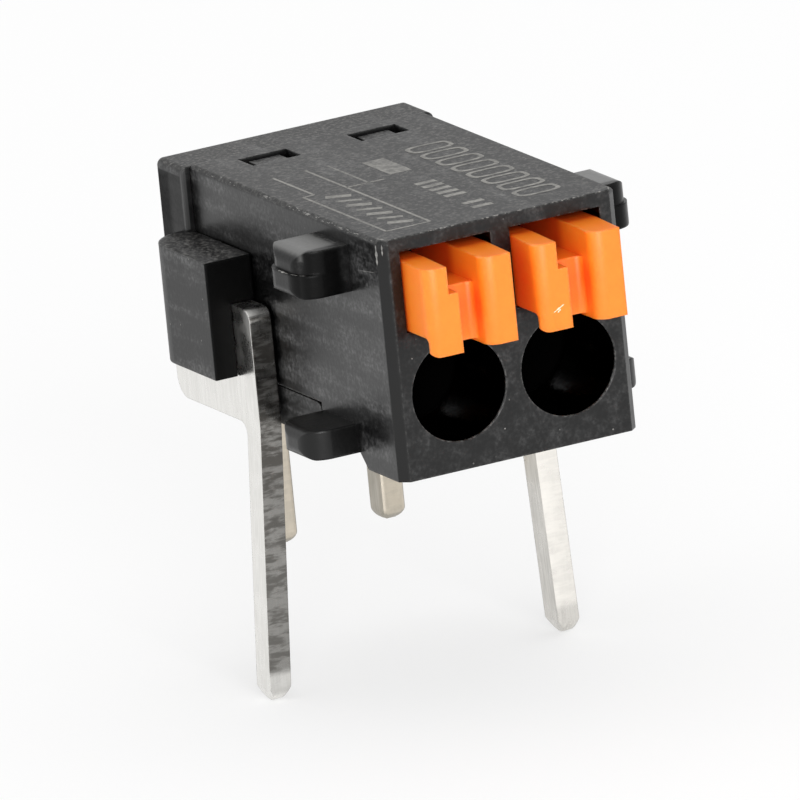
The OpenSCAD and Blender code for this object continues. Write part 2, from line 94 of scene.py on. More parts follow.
class Body(Enum):
    """The bodies that new pieces ride on."""

    PLUG = "plug"
    LEVER_RIGHT = "lever_right"


class Slot(Enum):
    """The record's material slots."""

    BLACK = "plastic_black"
    ORANGE = "lever_orange"


class Mix(Enum):
    """The kinds of Mix node, each with the places of its sockets A, B and Result."""

    FLOAT = ("FLOAT", 2, 3, 0)
    VECTOR = ("VECTOR", 4, 5, 1)
    COLOUR = ("RGBA", 6, 7, 2)


def opaque(colour: Colour) -> tuple[float, float, float, float]:
    """Gives a colour the alpha that colour sockets ask for."""
    return (*colour, 1.0)


class Nodes:
    """A small hand for building a node tree, in a material or in a group."""

    def __init__(self, tree: bpy.types.NodeTree) -> None:
        """Keeps the tree to build in."""
        self.tree = tree

    def add(self, kind: str, settings: dict | None = None, **inputs: Feed) -> bpy.types.Node:
        """Adds a node.

        Args:
            kind: The node's type name.
            settings: Its properties, by name.
            **inputs: What its inputs get, by socket name with underscores for spaces.

        Returns:
            The new node.
        """
        node = self.tree.nodes.new(kind)
        for name, value in (settings or {}).items():
            setattr(node, name, value)
        self.supply(node, **inputs)
        return node

    def supply(self, node: bpy.types.Node, **inputs: Feed) -> None:
        """Feeds a node's inputs, by socket name with underscores for spaces."""
        for name, value in inputs.items():
            self.feed(value, node.inputs[name.replace("_", " ")])

    def link(self, source: Socket, target: Socket) -> None:
        """Links an output to an input."""
        self.tree.links.new(source, target)

    def feed(self, value: Feed, target: Socket) -> None:
        """Links an output to an input, or sets the input's value.

        Args:
            value: A socket, a number, a vector or a colour.
            target: The input.
        """
        if isinstance(value, Socket):
            self.link(value, target)
        else:
            target.default_value = opaque(value) if target.type == "RGBA" else value

    def place(self) -> Socket:
        """Gives a point's place on the object."""
        return self.add("ShaderNodeTexCoord").outputs["Object"]

    def axes(self, vector: Socket) -> Sockets:
        """Splits a vector into the sockets X, Y and Z."""
        return self.add("ShaderNodeSeparateXYZ", Vector=vector).outputs

    def facing(self) -> Sockets:
        """Gives the sockets X, Y and Z of the way that a face looks."""
        return self.axes(self.add("ShaderNodeNewGeometry").outputs["True Normal"])

    def noise(self, place: Socket, scale: Socket, detail: float, roughness: float = 0.5) -> Socket:
        """Adds noise with a number of swells per metre, and finer layers of some roughness."""
        node = self.add("ShaderNodeTexNoise", Vector=place, Scale=scale, Detail=detail, Roughness=roughness)
        return node.outputs[0]

    def math(self, operation: str, *values: Socket | float) -> Socket:
        """Adds a Math node.

        Args:
            operation: The node's operation.
            *values: Its one or two inputs, sockets or numbers.

        Returns:
            The node's output.
        """
        node = self.add("ShaderNodeMath", {"operation": operation})
        for value, target in zip(values, node.inputs):
            self.feed(value, target)
        return node.outputs[0]

    def vectors(self, operation: str, a: Socket, b: Socket) -> Sockets:
        """Adds a Vector Math node.

        Args:
            operation: The node's operation.
            a: The first vector.
            b: The second vector.

        Returns:
            The sockets Vector and Value.
        """
        node = self.add("ShaderNodeVectorMath", {"operation": operation})
        for value, target in zip((a, b), node.inputs):
            self.link(value, target)
        return node.outputs

    def ramp(self, value: Socket, band: Band, result: Band = ALL) -> Socket:
        """Maps a value smoothly from one range to another.

        Args:
            value: The value's socket.
            band: Where the value's range starts and ends.
            result: The results at the start and at the end.

        Returns:
            The result's socket.
        """
        limits = dict(zip(("From_Min", "From_Max", "To_Min", "To_Max"), (*band, *result)))
        node = self.add("ShaderNodeMapRange", {"interpolation_type": "SMOOTHSTEP"}, Value=value, **limits)
        return node.outputs["Result"]

    def mix(self, kind: Mix, mask: Socket, a: Feed, b: Feed) -> Socket:
        """Mixes two numbers, vectors or colours.

        Args:
            kind: What is mixed.
            mask: 0 for the first, 1 for the second.
            a: A socket or a value.
            b: A socket or a value.

        Returns:
            The mixture's socket.
        """
        data_type, first, second, result = kind.value
        node = self.add("ShaderNodeMix", {"data_type": data_type})
        for value, target in ((mask, 0), (a, first), (b, second)):
            self.feed(value, node.inputs[target])
        return node.outputs[result]

    def blend(self, mask: Socket, a: Socket | Colour, b: Socket | Colour) -> Socket:
        """Mixes two colours, of which a mask of 1 shows the second."""
        return self.mix(Mix.COLOUR, mask, a, b)


def new_group(
    name: str, inputs: dict[str, float | Point], outputs: tuple[str, ...], vectors: tuple[str, ...] = ()
) -> tuple[bpy.types.NodeTree, Nodes, Sockets, Sockets]:
    """Starts a shader node group.

    Args:
        name: The group's name.
        inputs: Its inputs, numbers or vectors, with their usual values.
        outputs: Its number outputs.
        vectors: Its vector outputs.

    Returns:
        The group, its nodes, the sockets that bring its inputs and the sockets that take its outputs.
    """
    group = bpy.data.node_groups.new(name, "ShaderNodeTree")
    for label, value in inputs.items():
        kind = "NodeSocketVector" if isinstance(value, tuple) else "NodeSocketFloat"
        group.interface.new_socket(label, in_out="INPUT", socket_type=kind).default_value = value
    for labels, kind in ((outputs, "NodeSocketFloat"), (vectors, "NodeSocketVector")):
        for label in labels:
            group.interface.new_socket(label, in_out="OUTPUT", socket_type=kind)
    nodes = Nodes(group)
    return group, nodes, nodes.add("NodeGroupInput").outputs, nodes.add("NodeGroupOutput").inputs


def moulding_group() -> bpy.types.NodeTree:
    """Builds the moulded surface: grain and flow lines, tone, dust and grime.

    The grain is noise of about a tenth of a millimetre, and the flow lines are noise stretched along Y. The tone is
    the weighted sum of both and of cloud noise of about a millimetre, and less on faces that look along Y, which are
    smoother. Dust is where a point lies within a speck's radius of the nearest point of a scattered lattice. Grime is
    fine noise above a level, on faces that look up.

    Returns:
        The group, with the outputs Height, Tone, Dust and Grime.
    """
    sizes = {
        "Grain per m": 8500.0,
        "Flow per m": 2200.0,
        "Cloud per m": 900.0,
        "Dust per m": 2300.0,
        "Grime per m": 8000.0,
        "Flow squeeze": (1.0, 0.07, 1.0),
        "Speck": 0.055,
        "Flow share": 0.6,
        "Front tone": 0.72,
    }
    grain_weight, flow_weight, cloud_weight = 0.35, 0.4, 0.25
    group, nodes, source, sink = new_group("moulded_surface", sizes, ("Height", "Tone", "Dust", "Grime"))
    place = nodes.place()
    along = nodes.vectors("MULTIPLY", place, source["Flow squeeze"])["Vector"]
    grain = nodes.noise(place, source["Grain per m"], detail=2.0, roughness=0.6)
    flow = nodes.noise(along, source["Flow per m"], detail=3.0, roughness=0.55)
    cloud = nodes.noise(place, source["Cloud per m"], detail=5.0, roughness=0.62)
    grime = nodes.noise(place, source["Grime per m"], detail=3.0, roughness=0.7)
    nodes.link(nodes.mix(Mix.FLOAT, source["Flow share"], grain, flow), sink["Height"])
    tone = nodes.ramp(grain, NOISE_BAND, (0.0, grain_weight))
    for noise, weight in ((flow, flow_weight), (cloud, cloud_weight)):
        tone = nodes.math("ADD", tone, nodes.ramp(noise, NOISE_BAND, (0.0, weight)))
    face = nodes.facing()
    front = nodes.ramp(nodes.math("ABSOLUTE", face["Y"]), FRONT_BAND)
    calm = nodes.mix(Mix.FLOAT, front, 1.0, source["Front tone"])
    nodes.link(nodes.math("MULTIPLY", tone, calm), sink["Tone"])
    dust = nodes.add("ShaderNodeTexVoronoi", {"feature": "F1"}, Vector=place, Scale=source["Dust per m"]).outputs
    near = nodes.math("LESS_THAN", dust["Distance"], source["Speck"])
    strength = nodes.add("ShaderNodeSeparateColor", Color=dust["Color"]).outputs["Red"]
    nodes.link(nodes.math("MULTIPLY", near, strength), sink["Dust"])
    upward = nodes.ramp(face["Z"], UPWARD_BAND)
    nodes.link(nodes.math("MULTIPLY", nodes.ramp(grime, GRIME_BAND), upward), sink["Grime"])
    return group


def streak_group() -> bpy.types.NodeTree:
    """Builds the drawn and sheared look of strip metal.

    Drawing lines are fine noise stretched far along Z. The sheared face is coarser noise stretched along X, so that
    its marks run across the edge of the strip.

    Returns:
        The group, with the outputs Drawn, Sheared and Cloud.
    """
    sizes = {
        "Drawn per m": 14000.0,
        "Drawn squeeze": (1.0, 1.0, 0.06),
        "Sheared per m": 6000.0,
        "Sheared squeeze": (0.25, 1.0, 1.0),
        "Cloud per m": 1500.0,
    }
    group, nodes, source, sink = new_group("strip_metal", sizes, ("Drawn", "Sheared", "Cloud"))
    place = nodes.place()
    for name in ("Drawn", "Sheared"):
        along = nodes.vectors("MULTIPLY", place, source[f"{name} squeeze"])["Vector"]
        noise = nodes.noise(along, source[f"{name} per m"], detail=3.0, roughness=0.6)
        nodes.link(nodes.ramp(noise, NOISE_BAND), sink[name])
    nodes.link(nodes.ramp(nodes.noise(place, source["Cloud per m"], detail=4.0), CLOUD_BAND), sink["Cloud"])
    return group


def edge_group() -> bpy.types.NodeTree:
    """Builds soft edges: a normal that turns from face to face over a radius, and a mask where it turns for wear that
    also paints a highlight.

    Inner corners keep their own normal. They are told from outer edges by how much of the sky near them is hidden.
    The wear and painted highlight are broken up by noise.

    Returns:
        The group, with the outputs Normal and the mask of wear and painted highlight.
    """
    sizes = {"Radius": 0.06 * MM, "Reach in radii": 2.0, "Wear per m": 6500.0}
    group, nodes, source, sink = new_group("soft_edges", sizes, ("Worn and highlit",), ("Normal",))
    soft = nodes.add("ShaderNodeBevel", {"samples": 6}, Radius=source["Radius"]).outputs["Normal"]
    shape = nodes.add("ShaderNodeNewGeometry").outputs
    reach = nodes.math("MULTIPLY", source["Radius"], source["Reach in radii"])
    sky = nodes.add("ShaderNodeAmbientOcclusion", {"samples": 6, "only_local": True}, Distance=reach)
    outer = nodes.ramp(sky.outputs["AO"], OUTER_BAND)
    nodes.link(nodes.mix(Mix.VECTOR, outer, shape["Normal"], soft), sink["Normal"])
    along = nodes.vectors("DOT_PRODUCT", soft, shape["True Normal"])["Value"]
    turned = nodes.math("MULTIPLY", nodes.ramp(along, TURNED_BAND), outer)
    broken = nodes.noise(nodes.place(), source["Wear per m"], detail=4.0, roughness=0.7)
    nodes.link(nodes.math("MULTIPLY", turned, nodes.ramp(broken, WEAR_AND_HIGHLIGHT_BAND)), sink["Worn and highlit"])
    return group


def zone_group() -> bpy.types.NodeTree:
    """Builds a soft box mask that is alike on both sides of the middle plane.

    It is the least depth, over the three axes, of a point below the box's faces, measured with the X distance from the
    middle plane and divided by the width of the soft rim.

    Returns:
        The group, with the output Inside.
    """
    corners = {"Low": (0.0, 0.0, 0.0), "High": (0.0, 0.0, 0.0), "Soft": 0.05 * MM}
    group, nodes, source, sink = new_group("zone", corners, ("Inside",))
    place, low, high = (nodes.axes(vector) for vector in (nodes.place(), source["Low"], source["High"]))
    levels = {"X": nodes.math("ABSOLUTE", place["X"]), "Y": place["Y"], "Z": place["Z"]}
    depth = None
    for axis, level in levels.items():
        above = nodes.math("SUBTRACT", level, low[axis])
        below = nodes.math("SUBTRACT", high[axis], level)
        least = nodes.math("MINIMUM", above, below)
        depth = nodes.math("MINIMUM", depth, least) if depth else least
    nodes.link(nodes.ramp(nodes.math("DIVIDE", depth, source["Soft"]), ALL), sink["Inside"])
    return group


def recess_shade_group() -> bpy.types.NodeTree:
    """Builds the mask of painted recess shade: how much of the sky within a reach of a point is hidden, above a level.

    Returns:
        The group, with one output: the mask of painted shade.
    """
    group, nodes, source, sink = new_group("recess_shade", {"Reach": 1.05 * MM}, ("Recess shade",))
    sky = nodes.add("ShaderNodeAmbientOcclusion", {"samples": 8}, Distance=source["Reach"])
    nodes.link(nodes.ramp(sky.outputs["AO"], RECESS_SHADE_BAND), sink["Recess shade"])
    return group


class Groups:
    """The shared effects, built once."""

    def __init__(self) -> None:
        """Builds every group."""
        self.moulding = moulding_group()
        self.streaks = streak_group()
        self.edges = edge_group()
        self.zone = zone_group()
        self.recess_shade = recess_shade_group()


def place_group(nodes: Nodes, group: bpy.types.NodeTree, **values: Feed) -> Sockets:
    """Places a group in a material and gives its outputs. Values are its inputs, with underscores for spaces."""
    return nodes.add("ShaderNodeGroup", {"node_tree": group}, **values).outputs


def new_material(name: str) -> tuple[bpy.types.Material, Nodes, bpy.types.Node]:
    """Starts a material.

    Args:
        name: Its name.

    Returns:
        The material, its nodes and its Principled BSDF.
    """
    material = bpy.data.materials.new(name)
    material.use_nodes = True
    nodes = Nodes(material.node_tree)
    return material, nodes, material.node_tree.nodes["Principled BSDF"]


def relief(nodes: Nodes, height: Socket, depth: float, normal: Socket) -> Socket:
    """Raises a surface of some normal by a height from 0 to 1, of which 1 measures the depth, in metres."""
    bump = nodes.add("ShaderNodeBump", Strength=BUMP_STRENGTH, Distance=depth, Height=height, Normal=normal)
    return bump.outputs["Normal"]


@dataclass(frozen=True)
class PaintedLightZone:
    """A box, in millimetres and on both sides, where a finish has a painted colour of light or shade, a dullness that
    darkens its reflection as painted shade, and a roughness of its own.
    """

    low: Point
    high: Point
    dull: float = 0.0
    rough: float = 0.0
    soft: float = 0.05
    colour: Colour = NEAR_BLACK

    def mask(self, nodes: Nodes, groups: Groups) -> Socket:
        """Places the zone in a material and gives its mask."""
        low, high = (tuple(v * MM for v in corner) for corner in (self.low, self.high))
        return place_group(nodes, groups.zone, Low=low, High=high, Soft=self.soft * MM)["Inside"]


@dataclass(frozen=True)
class MouldedPlastic:
    """A satin moulded plastic, worn along its edges where the wear also paints a highlight, with painted shade in its
    recesses and in zones.
    """

    name: str
    dark: Colour
    light: Colour
    dust: Colour
    wear_and_highlight: Colour
    gloss: Band
    dust_share: float
    wear_and_highlight_share: float
    edge_radius: float
    grime_share: float = 0.0
    top_gloss: float = 0.0
    top_band: Band = (6.6 * MM, 6.7 * MM)
    relief_depth: float = 0.012 * MM
    tone_power: float = 1.0
    mirror: float = 0.5
    scatter: float = 0.0
    scatter_depth: float = 0.25 * MM
    recess_shade_colour: Colour = NEAR_BLACK
    recess_shade_share: float = 0.9
    recess_shade_dull: float = 0.6
    painted_light_zones: tuple[PaintedLightZone, ...] = ()

    def build(self, groups: Groups) -> bpy.types.Material:
        """Builds the material.

        Args:
            groups: The shared effects.

        Returns:
            The material.
        """
        material, nodes, shader = new_material(self.name)
        surface = place_group(nodes, groups.moulding)
        edges = place_group(nodes, groups.edges, Radius=self.edge_radius)
        recess_shade_mask = place_group(nodes, groups.recess_shade)["Recess shade"]
        tone = nodes.blend(nodes.math("POWER", surface["Tone"], self.tone_power), self.dark, self.light)
        layers = (
            (surface["Grime"], self.grime_share, self.dust),
            (surface["Dust"], self.dust_share, self.dust),
            # Edge wear, partly a painted highlight along the edges
            (edges["Worn and highlit"], self.wear_and_highlight_share, self.wear_and_highlight),
            # Painted shade in recesses
            (recess_shade_mask, self.recess_shade_share, self.recess_shade_colour),
        )
        for mask, share, colour in layers:
            tone = nodes.blend(nodes.math("MULTIPLY", mask, share), tone, colour)
        # Painted shade also darkens the reflection in recesses
        dull = nodes.math("MULTIPLY", recess_shade_mask, self.recess_shade_dull)
        top = nodes.ramp(nodes.axes(nodes.place())["Z"], self.top_band, (0.0, self.top_gloss))
        rough = nodes.math("ADD", nodes.ramp(surface["Tone"], ALL, self.gloss), top)
        # Zones of painted light and shade: their colour, a dullness that darkens the reflection, and a roughness
        for zone in self.painted_light_zones:
            inside = zone.mask(nodes, groups)
            tone = nodes.blend(inside, tone, zone.colour)
            rough = nodes.math("ADD", rough, nodes.math("MULTIPLY", inside, zone.rough))
            dull = nodes.math("MAXIMUM", dull, nodes.math("MULTIPLY", inside, zone.dull))
        nodes.supply(
            shader,
            Base_Color=tone,
            Metallic=dull,
            Roughness=rough,
            Specular_IOR_Level=self.mirror,
            Subsurface_Weight=self.scatter,
            Subsurface_Scale=self.scatter_depth,
            Normal=relief(nodes, surface["Height"], self.relief_depth, edges["Normal"]),
        )
        return material


@dataclass(frozen=True)
class WornInk:
    """A thin printed film, rubbed through in places."""

    name: str
    fresh: Colour
    faded: Colour
    rough: Band
    rub_size: float

    def build(self, groups: Groups) -> bpy.types.Material:
        """Builds the material.

        Args:
            groups: The shared effects.

        Returns:
            The material.
        """
        material, nodes, shader = new_material(self.name)
        tone = place_group(nodes, groups.moulding, Cloud_per_m=1.0 / self.rub_size)["Tone"]
        colour = nodes.blend(tone, self.fresh, self.faded)
        nodes.supply(shader, Base_Color=colour, Roughness=nodes.ramp(tone, ALL, self.rough))
        return material


@dataclass(frozen=True)
class StripMetal:
    """A drawn and stamped strip of metal, with sheared edges down to its plated tip."""

    name: str
    bright: Colour
    dull: Colour
    edge: Colour
    edge_low: Colour
    gloss: Band
    edge_share: float
    edge_radius: float = 0.05 * MM
    fade_band: Band = (1.0 * MM, -6.0 * MM)
    tip_band: Band = (-7.3 * MM, -7.0 * MM)
    tip_share: float = 0.25
    cloud_share: float = 0.3
    mark_band: Band = (0.2, 1.0)
    mark_share: Band = (0.77, 0.98)
    relief_depth: float = 0.003 * MM

    def build(self, groups: Groups) -> bpy.types.Material:
        """Builds the material. Faces that look to the front are the sheared edges, in the edge colour, which on the
        solder legs is painted light.

        Args:
            groups: The shared effects.

        Returns:
            The material.
        """
        material, nodes, shader = new_material(self.name)
        strip = place_group(nodes, groups.streaks)
        edges = place_group(nodes, groups.edges, Radius=self.edge_radius)
        level = nodes.axes(nodes.place())["Z"]
        front = nodes.ramp(nodes.facing()["Y"], SHEARED_BAND, (0.0, self.edge_share))
        above = nodes.ramp(level, self.tip_band, (self.tip_share, 1.0))
        marks = nodes.math("ADD", nodes.math("MULTIPLY", strip["Cloud"], self.cloud_share), strip["Sheared"])
        marks = nodes.ramp(marks, self.mark_band, self.mark_share)
        sheared = nodes.math("MULTIPLY", front, nodes.math("MULTIPLY", above, marks))
        plated = nodes.blend(strip["Drawn"], self.bright, self.dull)
        cut = nodes.blend(nodes.ramp(level, self.fade_band), self.edge, self.edge_low)
        nodes.supply(
            shader,
            Base_Color=nodes.blend(sheared, plated, cut),
            Metallic=1.0,
            Roughness=nodes.ramp(strip["Cloud"], ALL, self.gloss),
            Normal=relief(nodes, strip["Drawn"], self.relief_depth, edges["Normal"]),
        )
        return material


BLACK_PLUG = MouldedPlastic(
    name="black_plug_plastic",
    dark=(0.0008, 0.0008, 0.0009),
    light=(0.12, 0.12, 0.12),
    dust=(0.35, 0.34, 0.32),
    wear_and_highlight=(0.26, 0.26, 0.25),
    gloss=(0.28, 0.36),
    dust_share=0.6,
    wear_and_highlight_share=0.6,
    edge_radius=0.1 * MM,
    grime_share=0.28,
    top_gloss=0.14,
    relief_depth=0.03 * MM,
    tone_power=3.2,
    mirror=0.42,
    recess_shade_dull=0.4,
    painted_light_zones=(
        # Painted shade inside the housing, and in its far part
        PaintedLightZone((-1.0, -12.4, 0.35), (3.3, -2.5, 6.45), dull=0.95, rough=-0.2),
        PaintedLightZone((-1.0, -9.4, 0.35), (3.3, -2.5, 3.6), dull=0.95, rough=0.6),
        # The upper nubs: painted shade on their fronts and ends, and a painted highlight on their tops
        PaintedLightZone((3.8, -10.8, 4.6), (5.8, -9.9, 6.6), dull=0.7, soft=0.4),
        PaintedLightZone((5.1, -10.6, 4.6), (5.8, -7.9, 6.45), dull=0.6, soft=0.2),
        PaintedLightZone((4.0, -10.2, 6.0), (5.25, -8.0, 6.6), soft=0.15, colour=(0.12, 0.12, 0.117)),
        # Painted shade on the lower nubs
        PaintedLightZone((3.7, -10.3, -0.2), (5.8, -7.6, 1.3), dull=0.1, soft=0.2),
        # Painted shade on the upright edges at the front
        PaintedLightZone((3.5, -12.6, -0.6), (4.0, -12.1, 6.6), dull=0.25, soft=0.12, colour=(0.008, 0.008, 0.008)),
    ),
)
BLACK_HEADER = replace(
    BLACK_PLUG,
    name="black_header_plastic",
    gloss=(0.4, 0.5),
    top_gloss=0.04,
    grime_share=0.38,
    recess_shade_share=0.7,
    recess_shade_dull=0.25,
    painted_light_zones=(
        # Painted shade on the ears' faces beside the legs
        PaintedLightZone((3.7, -4.3, 0.9), (5.6, -4.1, 5.0), dull=0.75, soft=0.06),
        # The flange: painted shade on its ends and their rear part, and a painted highlight on the upper strip of its
        # front
        PaintedLightZone((4.0, -0.6, -0.1), (4.3, 1.0, 6.5), rough=0.15, colour=(0.006, 0.006, 0.006)),
        PaintedLightZone((3.6, 0.0, -0.1), (4.6, 1.5, 6.6), dull=0.75, soft=0.35),
        PaintedLightZone((3.92, -0.8, 4.9), (4.3, -0.6, 6.7), soft=0.04, colour=(0.045, 0.045, 0.045)),
    ),
)
ORANGE_PLASTIC = MouldedPlastic(
    name="orange_plastic",
    dark=(0.93, 0.21, 0.011),
    light=(0.96, 0.245, 0.016),
    dust=(0.95, 0.6, 0.35),
    wear_and_highlight=(1.0, 0.5, 0.22),
    gloss=(0.38, 0.46),
    dust_share=0.2,
    wear_and_highlight_share=0.45,
    edge_radius=0.12 * MM,
    relief_depth=0.004 * MM,
    scatter=0.3,
    recess_shade_colour=(0.88, 0.1, 0.006),
    recess_shade_share=1.0,
    recess_shade_dull=0.0,
    # Painted shade on the part that stands inside the housing
    painted_light_zones=(PaintedLightZone((-1.0, -12.2, 3.0), (3.8, -5.0, 6.6), soft=0.6, colour=(0.68, 0.07, 0.005)),),
)
PALE_BURR = replace(
    BLACK_PLUG,
    name="pale_burr_plastic",
    dark=(0.07, 0.07, 0.068),
    light=(0.36, 0.35, 0.33),
    tone_power=1.0,
    edge_radius=0.01 * MM,
    top_gloss=0.0,
    recess_shade_share=0.0,
    recess_shade_dull=0.0,
    painted_light_zones=(),
)
SCUFFED_ORANGE = replace(
    ORANGE_PLASTIC,
    name="scuffed_orange_plastic",
    dark=(1.0, 0.6, 0.38),
    light=(1.0, 0.8, 0.62),
    edge_radius=0.01 * MM,
    scatter=0.0,
    recess_shade_share=0.0,
    painted_light_zones=(),
)
GREY_INK = WornInk(
    name="worn_grey_ink",
    fresh=(0.36, 0.35, 0.325),
    faded=(0.07, 0.07, 0.066),
    rough=(0.7, 0.55),
    rub_size=0.3 * MM,
)
# Painted light: the left leg's front faces get a dark painted reflection, lighter towards the bottom, and its plated
# faces are lighter than the right leg's
LEFT_LEG_TIN_PAINTED_LIGHT = StripMetal(
    name="left_leg_tin_painted_light",
    bright=(0.84, 0.83, 0.8),
    dull=(0.76, 0.75, 0.72),
    edge=(0.08, 0.075, 0.068),
    edge_low=(0.14, 0.135, 0.125),
    gloss=(0.24, 0.36),
    edge_share=1.0,
)
# Painted light: the right leg's front faces get a bright painted highlight, and its plated faces are darker than the
# left leg's as painted shade
RIGHT_LEG_TIN_PAINTED_LIGHT = StripMetal(
    name="right_leg_tin_painted_light",
    bright=(0.72, 0.7, 0.66),
    dull=(0.58, 0.565, 0.53),
    edge=(0.94, 0.91, 0.855),
    edge_low=(0.94, 0.91, 0.855),
    gloss=(0.26, 0.38),
    edge_share=1.0,
)
PIN_TIN = StripMetal(
    name="pin_tin",
    bright=(0.44, 0.41, 0.355),
    dull=(0.36, 0.335, 0.285),
    edge=(0.7, 0.63, 0.52),
    edge_low=(0.72, 0.65, 0.54),
    gloss=(0.34, 0.46),
    edge_share=0.8,
)
SPRING_STEEL = StripMetal(
    name="spring_steel",
    bright=(0.6, 0.6, 0.61),
    dull=(0.48, 0.48, 0.49),
    edge=(0.3, 0.3, 0.3),
    edge_low=(0.36, 0.36, 0.36),
    gloss=(0.22, 0.34),
    edge_share=0.3,
)
COPPER_BAR = StripMetal(
    name="copper_bar",
    bright=(0.82, 0.6, 0.42),
    dull=(0.7, 0.48, 0.32),
    edge=(0.5, 0.32, 0.22),
    edge_low=(0.54, 0.36, 0.25),
    gloss=(0.25, 0.38),
    edge_share=0.4,
)


def soften_edges(node: bpy.types.Object, width: float) -> None:
    """Rounds a CAD node's sharp edges with modifiers.

    Args:
        node: The node's object.
        width: The width of the rounding, in metres.
    """
    weld = node.modifiers.new("weld", "WELD")
    weld.merge_threshold = WELD_GAP
    flat = node.modifiers.new("flat", "DECIMATE")
    flat.decimate_type = "DISSOLVE"
    flat.angle_limit = FLAT_ANGLE
    edge = node.modifiers.new("edge", "BEVEL")
    edge.width = width
    edge.segments = EDGE_SEGMENTS
    edge.limit_method = "ANGLE"
    edge.angle_limit = EDGE_ANGLE
    edge.use_clamp_overlap = True


def dress(node_names: tuple[str, ...], material: bpy.types.Material, width: float = 0.0) -> None:
    """Gives some CAD nodes a material, and soft edges where they have a width.

    Args:
        node_names: The nodes' names.
        material: Their material.
        width: The width of their edges' rounding, in metres.
    """
    for name in node_names:
        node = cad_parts[name]
        node.data.materials.clear()
        node.data.materials.append(material)
        if width:
            soften_edges(node, width)
        LOG.info("%s: %s", name, material.name)


def add_piece(
    name: str, points: np.ndarray, faces: np.ndarray, material: bpy.types.Material, body: Body
) -> bpy.types.Object:
    """Makes a piece that rides on a body.

    Args:
        name: The piece's name.
        points: Its points, one row each, in metres.
        faces: Its faces, one row of four point numbers each.
        material: Its material.
        body: The body that it rides on.

    Returns:
        The piece.
    """
    mesh = bpy.data.meshes.new(name)
    mesh.from_pydata(points.tolist(), [], faces.tolist())
    mesh.materials.append(material)
    piece = bpy.data.objects.new(name, mesh)
    bpy.context.scene.collection.objects.link(piece)
    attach(piece, body.value)
    LOG.info("%s: %d faces of %s on %s", name, len(faces), material.name, body.value)
    return piece


def grid_faces(patches: int, rows: int, columns: int) -> np.ndarray:
    """Numbers the faces of some equal grids of points that follow each other.

    Args:
        patches: How many grids there are.
        rows: Points along the first parameter.
        columns: Points along the second.

    Returns:
        The faces, one row of four point numbers each.
    """
    first = np.arange(patches)[:, None, None] * rows * columns
    corner = first + np.arange(rows - 1)[None, :, None] * columns + np.arange(columns - 1)[None, None, :]
    return np.stack([corner, corner + columns, corner + columns + 1, corner + 1], axis=-1).reshape(-1, 4)


